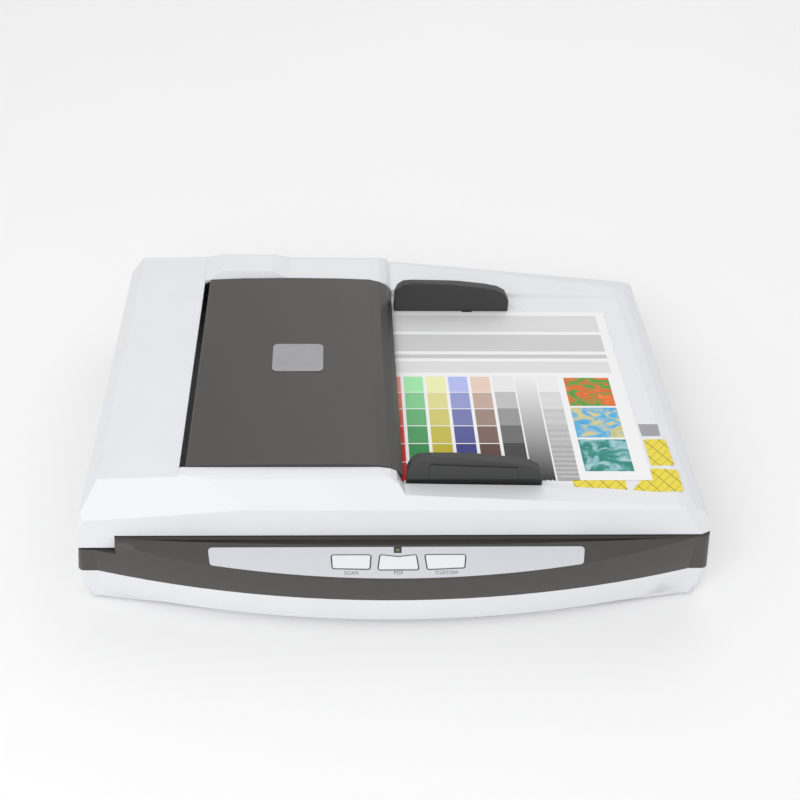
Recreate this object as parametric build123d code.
"""Sheet fed document scanner: a base with a moving scan carriage under glass, and a hinged lid that
holds the sheet feeder. Millimetres, +Z up, +X to the right as seen from the front, +Y to the back.

Along Y every place is first written as its distance behind the straight front plane of the base. save()
moves the finished piece so that the origin lies under the middle of the whole machine.
"""
import math
import os

from build123d import *

os.makedirs("parts", exist_ok=True)

# ---- driving dimensions ------------------------------------------------------------------------------
WIDTH = 455.0            # over the base at its parting line
DEPTH = 358.0            # from the middle of the bowed front to the back
BOW, BOW_CHORD = 30.0, 213.0     # bulge of the front, and half the width that bulges
SKIRT_BOW = 18.0         # bulge of the narrower skirt under the chin
WALL = 2.4
GAP = 0.4                # assembly gap between moulded pieces
KEY_GAP = 0.9            # dark line round each key in the silver plate
RUN = 0.05               # radial running clearance

FLOAT_Z, CHIN_Z, PARTING_Z, BED_Z = 2.0, 8.0, 28.0, 48.5
BED_T = 5.0              # thickness of the bed around the glass
CONSOLE_Z, CONSOLE_SLOPE = 59.8, 22.6
BACK, HALF = DEPTH - BOW, WIDTH / 2
CONSOLE_LEFT, CONSOLE_DEPTH = 30.0 - HALF, 8.0
LEAN = 4.0 / 34.0        # the sides lean in by this much per mm of height

GLASS_T, GLASS_LEDGE = 3.0, 5.0
BED_GLASS = (-114.0, 190.0)
STRIP_GLASS = (-150.0, -128.0)
GLASS_FRONT, GLASS_BACK = 42.0, 262.0

CARRIAGE_X, CARRIAGE_W = -139.0, 46.0
CARRIAGE_Z = (24.0, 42.6)
ROD_Y, ROD_Z, ROD_R = 152.0, 17.0, 4.0
BELT_Y, BELT_Z, BELT_T = 184.0, (12.0, 18.0), 1.2
PULLEY_R, PULLEY_LEFT, PULLEY_RIGHT = 7.0, -197.0, 202.0
PULLEY_BORE = 1.5

LID_BOTTOM, LID_TOP = 50.9, 103.0
LID_BACK = BACK - 10.0
CONSOLE_CLEAR_Z = 62.5   # lower edge of the lid over the console
SLOT_LEFT, COVER_LEFT, FEED_RIGHT = -152.5, -148.0, 5.0
COVER_FRONT, COVER_BACK = 27.0, 263.5
TRAY_Z, TRAY_RIGHT = 88.0, HALF - 22.5
COVER_PIN = (-143.0, 95.5)

ROLLER_LINE = 0.2133     # slope of the line through the three feeder shafts
FEED_X, FEED_Z = -95.0, 74.7
PICK_X, EXIT_X = -35.0, -138.0
SHAFT_R, DRIVE_R = 3.0, 8.0
PICK_R, FEED_R, EXIT_R = 10.0, 12.0, 8.0
PLATE_T = 3.0
RAMP_TOP, RAMP_LOW = (3.0, 85.0), (-118.0, 55.6)

GUIDE_LEFT, GUIDE_RIGHT = 6.5, 102.5
GUIDE_INNER_FRONT, GUIDE_INNER_BACK = 28.0, 240.0
GUIDE_TOP, GUIDE_T, GUIDE_TRAVEL = 116.0, 8.0, 55.0
RACK_W, RACK_Z = 8.0, (79.0, 84.0)
PINION_X, PINION_R = 56.0, 7.8

HINGE_Y, HINGE_Z, HINGE_X = BACK - 5.0, 58.0, 150.0
KNUCKLE_R, HINGE_PIN_R = 4.0, 2.0
FAR = 600.0              # beyond everything, for cutting tools


def save(name, piece):
    """Writes one node, moved so that the origin is under the middle of the machine."""
    piece = Pos(0, BOW - DEPTH / 2, 0) * piece
    if len(piece.solids()) == 1:
        piece = piece.solids()[0]
    else:
        piece = Compound(children=list(piece.solids()))
    piece.label = name
    export_step(piece, f"parts/{name}.step")


def box(x0, x1, y0, y1, z0, z1):
    return Pos((x0 + x1) / 2, (y0 + y1) / 2, (z0 + z1) / 2) * Box(x1 - x0, y1 - y0, z1 - z0)


def bar(radius, length):
    return Cylinder(radius, length, align=(Align.CENTER, Align.CENTER, Align.MIN))


def rod_y(x, z, radius, y0, y1):
    return Pos(x, y1, z) * Rot(90, 0, 0) * bar(radius, y1 - y0)


def rod_x(y, z, radius, x0, x1):
    return Pos(x0, y, z) * Rot(0, 90, 0) * bar(radius, x1 - x0)


def post(x, y, radius, z0, z1):
    return Pos(x, y, z0) * bar(radius, z1 - z0)


def half_at(z):
    """Half width of the machine at a height above the parting line."""
    return HALF - LEAN * (z - PARTING_Z)


def plan(half, front, bow, chord, back, z, corner=5.0):
    """The outline of the base seen from above, as a face at height z."""
    outline = [
        Line((-half, front), (-chord, front)),
        ThreePointArc((-chord, front), (0, front - bow), (chord, front)),
        Polyline((chord, front), (half, front), (half, back), (-half, back), (-half, front)),
    ]
    face = make_face(Curve() + outline)
    corners = [v for v in face.vertices() if abs(abs(v.X) - half) < 1e-6]
    return Pos(0, 0, z) * fillet(corners, corner)


def slice_off(piece, point, normal):
    """Cuts away what lies on the outer side of a plane."""
    return piece - Plane(origin=point, z_dir=normal) * Box(
        3 * FAR, 3 * FAR, FAR, align=(Align.CENTER, Align.CENTER, Align.MIN)
    )


def prism_y(points, y0, y1, inset=0.0):
    """A block with an outline in X and Z, drawn out along Y."""
    face = make_face(Polyline(*points, close=True))
    if inset:
        face = offset(face, -inset, kind=Kind.INTERSECTION)
    return Pos(0, y1, 0) * Rot(90, 0, 0) * extrude(face, y1 - y0, dir=(0, 0, 1))


def prism_x(points, x0, x1, inset=0.0):
    """A block with an outline in Y and Z, drawn out along X."""
    face = make_face(Polyline(*points, close=True))
    if inset:
        face = offset(face, -inset, kind=Kind.INTERSECTION)
    return Pos(x0, 0, 0) * (Plane.YZ * extrude(face, x1 - x0, dir=(0, 0, 1)))


# ---- base: bottom housing, bed and console -----------------------------------------------------------
CONSOLE_NORMAL = (0, -math.sin(math.radians(CONSOLE_SLOPE)), math.cos(math.radians(CONSOLE_SLOPE)))
CONSOLE = Plane(origin=(0, 0, CONSOLE_Z), x_dir=(1, 0, 0), z_dir=CONSOLE_NORMAL)
BOARD_X, BOARD_Y = (40.0, 200.0), (270.0, 316.0)
BOARD_Z = 8.0
BOARD_T = 1.6
JACK_X, USB_X = 182.0, 152.0
FOOT_SPOTS = [(x, y) for x in (-195, 195) for y in (22, 300)]
PANEL_X, PANEL_GAP = (USB_X - 16.0, JACK_X + 16.0), 0.15
SCREW_SPOTS = [(x, y) for x in (-207, 207) for y in (60, 280)]


def bottom_housing():
    skirt = extrude(plan(HALF - 5.5, 0, SKIRT_BOW, BOW_CHORD, BACK, FLOAT_Z), CHIN_Z - FLOAT_Z)
    low = plan(HALF - 3.0, 0, BOW, BOW_CHORD, BACK, CHIN_Z)
    chin = loft([low, plan(HALF, 0, BOW, BOW_CHORD, BACK, PARTING_Z)], ruled=True)
    floor_z = FLOAT_Z + WALL
    deep = plan(HALF - 9, WALL + 1, SKIRT_BOW - 1, BOW_CHORD - 5, BACK - WALL, floor_z)
    wide = plan(HALF - 6, WALL + 1, BOW - 1, BOW_CHORD - 4, BACK - WALL, CHIN_Z + WALL)
    shell = skirt + chin - extrude(deep, PARTING_Z) - extrude(wide, PARTING_Z)
    for x in (PULLEY_LEFT, PULLEY_RIGHT):
        shell += post(x, BELT_Y, PULLEY_R - 2, floor_z, BELT_Z[0] - GAP)
    for x0, x1 in ((-212, -206), (207, 213)):
        shell += box(x0, x1, ROD_Y - 8, ROD_Y + 8, floor_z, ROD_Z + 7)
    for x in BOARD_X:
        for y in BOARD_Y:
            shell += post(x, y, 3, floor_z, BOARD_Z)
    shell -= rod_x(ROD_Y, ROD_Z, ROD_R, -209, 210)
    left, right = PANEL_X
    shell -= box(left - PANEL_GAP, right + PANEL_GAP, BACK - 2 * WALL, BACK + 1, CHIN_Z, PARTING_Z + 1)
    for x, y in SCREW_SPOTS:
        shell -= post(x, y, 3.6, FLOAT_Z - 1, FLOAT_Z + 1.5)
    return shell


def connector_panel():
    """The separate rear panel that the two sockets look out of."""
    left, right = PANEL_X
    panel = box(left, right, BACK - WALL, BACK, CHIN_Z + PANEL_GAP, PARTING_Z - PANEL_GAP)
    for x, half in ((JACK_X, 6), (USB_X, 6.5)):
        panel -= box(x - half - GAP, x + half + GAP, 0, BACK + 1, BOARD_Z + BOARD_T - GAP, BOARD_Z + BOARD_T + 11 + GAP)
    return panel


def console_window(u0, u1, v0, v1, n0, n1):
    """A block on the console, by its place along, up and out of the slope."""
    return CONSOLE * box(u0, u1, v0, v1, n0, n1)


def up_slope(y):
    return y / math.cos(math.radians(CONSOLE_SLOPE))


def plate_face(grow=0.0):
    """Outline of the silver control plate on the slope."""
    top, side, low = up_slope(-6.5), up_slope(-18.5), up_slope(-28.1)
    outline = [
        Polyline((-130.5, side), (-132.5, top), (132.5, top), (130.5, side)),
        ThreePointArc((130.5, side), (0, low), (-130.5, side)),
    ]
    face = fillet(make_face(Curve() + outline).vertices(), 2.5)
    return offset(face, grow) if grow else face


BUTTONS = {
    "scan": [(-45.9, -12.3), (-18.9, -12.3), (-19.8, -21.5), (-45.2, -20.9)],
    "pdf": [(-11.9, -12.3), (0.6, -13.6), (12.9, -12.3), (14.3, -21.9), (-13.5, -21.9)],
    "custom": [(19.6, -12.3), (47.6, -12.3), (46.4, -20.7), (20.9, -21.8)],
}
PLATE_SINK, PLATE_RISE = 0.9, 0.3
LED_SPOT = (-1.2, 1.6, up_slope(-9.6), up_slope(-7.6))


def button_face(name, grow=0.0):
    corners = [(x, up_slope(y)) for x, y in BUTTONS[name]]
    face = make_face(Polyline(*corners, close=True))
    sharp = [v for v in face.vertices() if abs(v.X) > 1.0]
    face = fillet(sharp, 1.0)
    return offset(face, grow) if grow else face


def control_plate():
    plate = CONSOLE * Pos(0, 0, -PLATE_SINK) * extrude(plate_face(), PLATE_SINK + PLATE_RISE)
    for name in BUTTONS:
        plate -= CONSOLE * Pos(0, 0, -2) * extrude(button_face(name, KEY_GAP), 4)
    return plate - console_window(-2.5, 3.0, up_slope(-10.7), 0, -2, 2)


def top_housing():
    low = plan(HALF, 0, BOW, BOW_CHORD, BACK, PARTING_Z)
    block = loft([low, plan(half_at(62), 0, BOW, BOW_CHORD, BACK, 62)], ruled=True)
    block -= box(-FAR, CONSOLE_LEFT, -FAR, FAR, BED_Z, FAR)
    block -= box(-FAR, FAR, CONSOLE_DEPTH, FAR, BED_Z, FAR)
    block = slice_off(block, (0, 0, CONSOLE_Z), CONSOLE_NORMAL)
    inner = plan(HALF - 5, WALL + 1, BOW - 1, BOW_CHORD - 4, BACK - WALL, PARTING_Z - 1)
    block -= extrude(inner, BED_Z - BED_T - PARTING_Z + 1)
    room = extrude(inner, 60) & box(CONSOLE_LEFT + 3, HALF - 8, -BOW, -7, PARTING_Z, 62)
    under = tuple(a + b for a, b in zip((0, 0, CONSOLE_Z), (-2.6 * n for n in CONSOLE_NORMAL)))
    block -= slice_off(room, under, CONSOLE_NORMAL)
    for left, right in (BED_GLASS, STRIP_GLASS):
        block -= box(left, right, GLASS_FRONT, GLASS_BACK, BED_Z - GLASS_T, FAR)
        ledge = GLASS_LEDGE if right > 0 else 3.0
        block -= box(left + ledge, right - ledge, GLASS_FRONT + ledge, GLASS_BACK - ledge, 30, FAR)
    groove = make_face(Curve() + [Line((-187, -0.6), (199, -0.6)), ThreePointArc((-187, -0.6), (6, -5), (199, -0.6))])
    block -= Pos(0, 0, 56.8) * extrude(groove, 10)
    block -= CONSOLE * Pos(0, 0, -PLATE_SINK) * extrude(plate_face(0.15), 5)
    for name in BUTTONS:
        block -= CONSOLE * Pos(0, 0, -6) * extrude(button_face(name, GAP), 8)
    return block - CONSOLE * box(*LED_SPOT, -8, 3)


save("bottom_housing", bottom_housing())
save("connector_panel", connector_panel())
save("top_housing", top_housing())
save("control_plate", control_plate())
save("status_led", CONSOLE * box(*LED_SPOT, -4, 0.1))
FLANGE = (-4.2, -2.9)
for name in BUTTONS:
    cap = extrude(button_face(name), 1.0 - FLANGE[0])
    cap = Pos(0, 0, FLANGE[0]) * fillet(cap.edges().sort_by(Axis.Z)[-len(BUTTONS[name]):], 0.4)
    flange = Pos(0, 0, FLANGE[0]) * extrude(button_face(name, 1.4), FLANGE[1] - FLANGE[0])
    save(f"{name}_button", CONSOLE * (cap + flange))
board_v = (up_slope(-26.0), up_slope(-13.0))
save("button_board", console_window(-55, 55, *board_v, -9.6, -8.0))
switches = [console_window(x - 3, x + 3, up_slope(-17) - 3, up_slope(-17) + 3, -8.0, -5.4) for x in (-32, 0, 33)]
save("button_switches", Compound(children=switches))
save("rubber_feet", Compound(children=[post(x, y, 8, 0, FLOAT_Z) for x, y in FOOT_SPOTS]))
heads = [post(x, y, 3.3, FLOAT_Z + 0.2, FLOAT_Z + 1.5) - box(x - 2, x + 2, y - 0.4, y + 0.4, 0, 2.8)
         for x, y in SCREW_SPOTS]
save("housing_screws", Compound(children=heads))
for name, (left, right) in (("platen_glass", BED_GLASS), ("feeder_scan_glass", STRIP_GLASS)):
    save(name, box(left + 0.3, right - 0.3, GLASS_FRONT + 0.3, GLASS_BACK - 0.3, BED_Z - GLASS_T, BED_Z))

# ---- base: carriage and its drive --------------------------------------------------------------------
save("guide_rod", rod_x(ROD_Y, ROD_Z, ROD_R, -209, 210))
LEFT_EDGE, RIGHT_EDGE = CARRIAGE_X - CARRIAGE_W / 2, CARRIAGE_X + CARRIAGE_W / 2
SENSOR_W = 16.0


def scan_carriage():
    low, high = CARRIAGE_Z
    tub = box(LEFT_EDGE, RIGHT_EDGE, 40, 264, low, high - 1.0)
    tub -= box(CARRIAGE_X - SENSOR_W / 2 - GAP, CARRIAGE_X + SENSOR_W / 2 + GAP, 44, 260, low + WALL, FAR)
    tub += box(LEFT_EDGE, RIGHT_EDGE, ROD_Y - 7, ROD_Y + 7, ROD_Z - 1, low + 1)
    tub += box(CARRIAGE_X - 6, CARRIAGE_X + 6, BELT_Y - PULLEY_R + GAP, BELT_Y - PULLEY_R + 3, 13, low + 1)
    return tub - rod_x(ROD_Y, ROD_Z, ROD_R + RUN, LEFT_EDGE - 1, RIGHT_EDGE + 1)


save("scan_carriage", scan_carriage())
sensor = box(CARRIAGE_X - SENSOR_W / 2, CARRIAGE_X + SENSOR_W / 2, 44.5, 259.5, CARRIAGE_Z[0] + WALL, 41.0)
save("image_sensor", sensor)
save("sensor_window", box(CARRIAGE_X - 6, CARRIAGE_X + 6, 46, 258, 41.0, CARRIAGE_Z[1]))


def belt_loop(x0, x1, y, radius, z0, z1):
    """A flat belt around two equal pulleys on a line along X."""
    outer = box(x0, x1, y - radius - BELT_T, y + radius + BELT_T, z0, z1)
    inner = box(x0, x1, y - radius, y + radius, z0, z1)
    for x in (x0, x1):
        outer += post(x, y, radius + BELT_T, z0, z1)
        inner += post(x, y, radius, z0, z1)
    return outer - inner


save("drive_belt", belt_loop(PULLEY_LEFT, PULLEY_RIGHT, BELT_Y, PULLEY_R + 0.05, *BELT_Z))
for name, x in (("motor_pulley", PULLEY_LEFT), ("idler_pulley", PULLEY_RIGHT)):
    save(name, post(x, BELT_Y, PULLEY_R, *BELT_Z) - post(x, BELT_Y, PULLEY_BORE + RUN, 0, FAR))
motor = post(PULLEY_LEFT, BELT_Y, 13, BELT_Z[1] + 1.5, BED_Z - BED_T)
save("carriage_motor", motor + post(PULLEY_LEFT, BELT_Y, PULLEY_BORE, BELT_Z[0] - GAP, BELT_Z[1] + 2))
save("idler_pin", post(PULLEY_RIGHT, BELT_Y, PULLEY_BORE, BELT_Z[0] - GAP, BELT_Z[1] + 2))
BOARD_TOP = BOARD_Z + BOARD_T
save("main_board", box(BOARD_X[0] - 6, BOARD_X[1] + 6, BOARD_Y[0] - 6, BOARD_Y[1] + 6, BOARD_Z, BOARD_TOP))
chips = [box(x, x + w, 280, 280 + w, BOARD_TOP, BOARD_TOP + h) for x, w, h in ((60, 22, 2), (92, 12, 1.5), (120, 9, 6))]
save("board_chips", Compound(children=chips))
jack = box(JACK_X - 6, JACK_X + 6, 310, BACK - 0.4, BOARD_TOP, BOARD_TOP + 11)
save("power_jack", jack - rod_y(JACK_X, BOARD_TOP + 5.5, 3.2, 316, BACK + 1))
port = box(USB_X - 6.5, USB_X + 6.5, 310, BACK - 0.4, BOARD_TOP, BOARD_TOP + 11)
save("usb_port", port - box(USB_X - 4.4, USB_X + 4.4, 316, BACK + 1, BOARD_TOP + 1.6, BOARD_TOP + 9.6))

# ---- lid ---------------------------------------------------------------------------------------------
BAY = (SLOT_LEFT, FEED_RIGHT, COVER_FRONT - 0.5, COVER_BACK + 0.5)


def lid_block(inset, bottom):
    """The outer form of the lid, or the hollow inside its walls when there is an inset."""
    end_round = [(-13, LID_TOP), (-5, 101.6), (1, 98.6), (FEED_RIGHT, 93.6)]
    side = [(-half_at(bottom), bottom), (-half_at(78.5), 78.5), (19.0 - HALF, 98), (SLOT_LEFT, 101.5),
            (SLOT_LEFT + 1, LID_TOP), *end_round, (HALF - 30.5, 88.4), (HALF - 19.5, 85.5), (HALF - 11.5, 80.5),
            (HALF - 6.5, 73.5), (half_at(66), 66), (half_at(bottom), bottom)]
    front = [(0, bottom), (0, 86.5), (1.2, 88), (16, 101), (19, 102.6), (23, LID_TOP),
             (LID_BACK - 21, LID_TOP), (LID_BACK - 15, 101), (LID_BACK - 1, 88), (LID_BACK, 86), (LID_BACK, bottom)]
    block = prism_y(side, -10, LID_BACK + 20, inset) & prism_x(front, -HALF, HALF, inset)
    shift = Vector(0, 0, -inset)
    block = slice_off(block, Vector(6.5 - HALF, 0, 76.3) + shift * 1.4, (-0.089, -1.05, 1))
    block = slice_off(block, Vector(8.0 - HALF + inset, inset, 72), (-0.7, -0.7, 0.3))
    block = slice_off(block, Vector(HALF - 13.5 - inset, 2.5 + inset, 74), (0.42, -0.86, 0.28))
    block = slice_off(block, Vector(9.0 - HALF + inset, LID_BACK - 2 - inset, 78), (-0.6, 0.6, 0.5))
    block = slice_off(block, Vector(HALF - 11.5 - inset, LID_BACK - 6 - inset, 74), (0.6, 0.6, 0.4))
    tray_part = block & box(FEED_RIGHT - 2, FAR, -FAR, FAR, 0, FAR)
    feeder_part = block - box(FEED_RIGHT - 2, FAR, -FAR, FAR, 0, FAR)
    return feeder_part + slice_off(tray_part, Vector(60, 300, 91.5 - inset * 1.1), (0.088, 0.437, 0.898))


def lid_cover():
    outer = lid_block(0, LID_BOTTOM)
    low = Pos(0, 0, LID_TOP - 1) * make_face(Polyline((-153, 265.5), (-79, 265.5), (-79, 301), (-153, 301), close=True))
    high = Pos(0, 0, 108.5) * make_face(Polyline((-138, 269), (-96, 269), (-96, 296), (-138, 296), close=True))
    outer += loft([low, high], ruled=True)
    hollow = lid_block(WALL, LID_BOTTOM - 20)
    hollow -= box(-4, FAR, -FAR, FAR, TRAY_Z - WALL - 0.2, FAR)
    front_box = box(CONSOLE_LEFT - GAP, HALF + 5, -1, CONSOLE_DEPTH + 1, 0, CONSOLE_CLEAR_Z)
    hollow -= box(CONSOLE_LEFT - GAP - WALL, HALF, -1, CONSOLE_DEPTH + 1 + WALL, 0, CONSOLE_CLEAR_Z + WALL)
    shell = outer - front_box - hollow
    shell -= box(BAY[0], BAY[1], BAY[2], BAY[3], LID_BOTTOM, FAR)
    tray = make_face(Polyline((4.5, 22), (100, 21.5), (150, 19), (TRAY_RIGHT, 14), (HALF, 13), (HALF, 262),
                              (4.5, 262), close=True))
    shell -= Pos(0, 0, TRAY_Z) * extrude(tray, 20, taper=-24)
    travel = GUIDE_TRAVEL + GAP
    shell -= box(PINION_X - 16 - GAP, PINION_X - 8 + GAP, 22.4, GUIDE_INNER_FRONT + travel, 80, FAR)
    shell -= box(PINION_X + 8 - GAP, PINION_X + 16 + GAP, GUIDE_INNER_BACK - travel, 248.6, 80, FAR)
    shell += post(PINION_X, 134, 3, RACK_Z[0] - 1, TRAY_Z - 1)
    return shell


save("lid_cover", lid_cover())
base_half = half_at(LID_BOTTOM + WALL) - WALL - GAP
plate = box(-base_half, base_half, CONSOLE_DEPTH + 1 + WALL + GAP, LID_BACK - WALL - GAP, LID_BOTTOM, LID_BOTTOM + WALL)
corner_x, corner_y = CONSOLE_LEFT - 2 * GAP - WALL, WALL + GAP + 1
plate += box(1 - base_half, corner_x, corner_y, CONSOLE_DEPTH + 2 * WALL, LID_BOTTOM, LID_BOTTOM + WALL)
save("lid_base_plate", plate - box(-150, -128, 32, 258, 0, FAR))
save("platen_pad", box(BED_GLASS[0] + 2, BED_GLASS[1] - 2, GLASS_FRONT + 2, GLASS_BACK - 2, BED_Z + 0.3, LID_BOTTOM))

ears, tabs, pins = [], [], []
for x in (-HINGE_X, HINGE_X):
    tab = rod_x(HINGE_Y, HINGE_Z, KNUCKLE_R, x - 7.6, x + 7.6)
    tab += box(x - 7.6, x + 7.6, LID_BACK, HINGE_Y, HINGE_Z - KNUCKLE_R, HINGE_Z + KNUCKLE_R)
    tabs.append(tab - rod_x(HINGE_Y, HINGE_Z, HINGE_PIN_R + RUN, x - 20, x + 20))
    for x0 in (x - 12, x + 8):
        ear = rod_x(HINGE_Y, HINGE_Z, KNUCKLE_R, x0, x0 + 4)
        ear += box(x0, x0 + 4, HINGE_Y - KNUCKLE_R, HINGE_Y + KNUCKLE_R, BED_Z, HINGE_Z)
        ears.append(ear - rod_x(HINGE_Y, HINGE_Z, HINGE_PIN_R, x - 20, x + 20))
    pins.append(rod_x(HINGE_Y, HINGE_Z, HINGE_PIN_R, x - 12, x + 12))
save("hinge_brackets", Compound(children=ears))
save("lid_hinge_tabs", Compound(children=tabs))
save("hinge_pins", Compound(children=pins))

# ---- feeder ------------------------------------------------------------------------------------------
PLATE_FRONT, PLATE_BACK = COVER_FRONT - 5.5, COVER_BACK + 1.5
SHAFTS = {name: (x, FEED_Z + ROLLER_LINE * (x - FEED_X))
          for name, x in (("pick", PICK_X), ("feed", FEED_X), ("exit", EXIT_X))}


def feed_chassis():
    floor_z = LID_BOTTOM + WALL
    outline = [(-151, floor_z), (-151, 98.8), (-136, 98.8), (-126, 96), (-16, 96), (-5, 84), (0, 84), (0, floor_z)]
    frame = prism_y(outline, PLATE_FRONT, PLATE_FRONT + PLATE_T)
    frame += prism_y(outline, PLATE_BACK, PLATE_BACK + PLATE_T)
    (x1, z1), (x0, z0) = RAMP_TOP, RAMP_LOW
    ramp = [(x0, z0), (x1, z1), (x1, z1 - 2.5), (x0, z0 - 2.2)]
    frame += prism_y(ramp, PLATE_FRONT + PLATE_T, PLATE_BACK)
    for x, z in SHAFTS.values():
        frame -= rod_y(x, z, SHAFT_R + RUN, 0, LID_BACK)
    return frame - rod_y(*COVER_PIN, HINGE_PIN_R, 0, LID_BACK)


save("feed_chassis", feed_chassis())
save("cover_hinge_pins", Compound(children=[
    rod_y(*COVER_PIN, HINGE_PIN_R, PLATE_FRONT, COVER_FRONT + 4),
    rod_y(*COVER_PIN, HINGE_PIN_R, COVER_BACK - 4, PLATE_BACK + PLATE_T),
]))
ROLLERS = {
    "pick": (PICK_R, [(128, 142), (148, 162)]),
    "feed": (FEED_R, [(60, 78), (110, 128), (162, 180), (212, 230)]),
    "exit": (EXIT_R, [(50, 62), (110, 122), (168, 180), (228, 240)]),
}
PULLEY_Y = (PLATE_BACK + PLATE_T + 0.5, PLATE_BACK + PLATE_T + 7.5)
for name, (radius, spans) in ROLLERS.items():
    x, z = SHAFTS[name]
    save(f"{name}_shaft", rod_y(x, z, SHAFT_R, PLATE_FRONT - 1, PULLEY_Y[1] + 1))
    save(f"{name}_rollers", Compound(children=[
        rod_y(x, z, radius, y0, y1) - rod_y(x, z, SHAFT_R, y0 - 1, y1 + 1) for y0, y1 in spans]))
    save(f"{name}_pulley", rod_y(x, z, DRIVE_R, *PULLEY_Y) - rod_y(x, z, SHAFT_R, 0, LID_BACK))
angle = math.degrees(math.atan(ROLLER_LINE))
run = (PICK_X - EXIT_X) / math.cos(math.radians(angle))
loop = belt_loop(0, run, 0, DRIVE_R + 0.05, -3, 3)
x, z = SHAFTS["exit"]
save("feeder_belt", Pos(x, sum(PULLEY_Y) / 2, z) * Rot(0, -angle, 0) * Rot(90, 0, 0) * loop)
save("feeder_motor", box(-112, -76, PULLEY_Y[1] + 3, 308, LID_BOTTOM + WALL, 84))
slope = (RAMP_TOP[1] - RAMP_LOW[1]) / (RAMP_TOP[0] - RAMP_LOW[0])
pad = box(PICK_X - 12, PICK_X + 4, 130, 160, 0, 0.6)
pad_z = RAMP_LOW[1] + slope * (PICK_X - RAMP_LOW[0])
tilt = math.degrees(math.atan(slope))
save("separation_pad", Pos(PICK_X, 0, pad_z) * Rot(0, -tilt, 0) * Pos(-PICK_X, 0, 0) * pad)


def feeder_cover():
    """Arched cover over the feeder, hinged along its left edge."""
    skin = [(COVER_LEFT, 97), (COVER_LEFT, 102.9), (COVER_LEFT + 1.2, 103.9), (-120, 105.1), (-80, 105.8),
            (-40, 105.4), (-14, 104.4), (-6, 102.4), (0.8, 98.6), (4.4, 94.2), (3.4, 93), (-16, 93), (-18, 97)]
    body = prism_y(skin, COVER_FRONT, COVER_BACK)
    under = [(COVER_LEFT + WALL, 90), (COVER_LEFT + WALL, 101.8), (-80, 103.2), (-15, 101.8), (-7, 99.6), (-1, 95),
             (0, 90)]
    body -= prism_y(under, COVER_FRONT + WALL, COVER_BACK - WALL)
    x, z = COVER_PIN
    for y0, y1 in ((COVER_FRONT, COVER_FRONT + WALL), (COVER_BACK - WALL, COVER_BACK)):
        body += rod_y(x, z, KNUCKLE_R, y0, y1)
    return body - rod_y(x, z, HINGE_PIN_R + RUN, 0, LID_BACK)


save("feeder_cover", feeder_cover())

# ---- paper guides ------------------------------------------------------------------------------------
FLOAT = 0.3


def paper_guide(section, stem_x, stem_y, rack_y):
    """One guide: a wall with a falling top edge, its stem through the tray floor, and its rack bar."""
    face = [(GUIDE_LEFT, TRAY_Z + FLOAT), (GUIDE_LEFT, 104), (9, 110.5), (14, 114.6), (23, GUIDE_TOP), (52, 114.8),
            (81, 111.3), (92, 109), (99, 105), (GUIDE_RIGHT, 98), (GUIDE_RIGHT, TRAY_Z + FLOAT)]
    wall = prism_y(face, 0, LID_BACK) & prism_x(section, 0, GUIDE_RIGHT + 10)
    wall += box(stem_x, stem_x + RACK_W, *stem_y, RACK_Z[0], TRAY_Z + 2)
    return wall + box(stem_x, stem_x + RACK_W, *rack_y, *RACK_Z)


front = [(22.8, 88.3), (22.8, 94), (20, 97), (20, 113.5), (22, GUIDE_TOP), (27, GUIDE_TOP), (28, 115), (28, 88.3)]
back_y = GUIDE_INNER_BACK
back = [(back_y, 88.3), (back_y, 115), (back_y + 1, GUIDE_TOP), (back_y + 6, GUIDE_TOP), (back_y + 8, 113.5),
        (back_y + 8, 96), (back_y + 12, 91.5), (back_y + 12, 88.3)]
save("front_paper_guide", paper_guide(front, PINION_X - 16, (22.8, 28), (22.8, 142)))
save("rear_paper_guide", paper_guide(back, PINION_X + 8, (back_y, back_y + 8), (126, back_y + 8)))
save("guide_pinion", post(PINION_X, 134, PINION_R, *RACK_Z) - post(PINION_X, 134, 3 + RUN, 0, FAR))
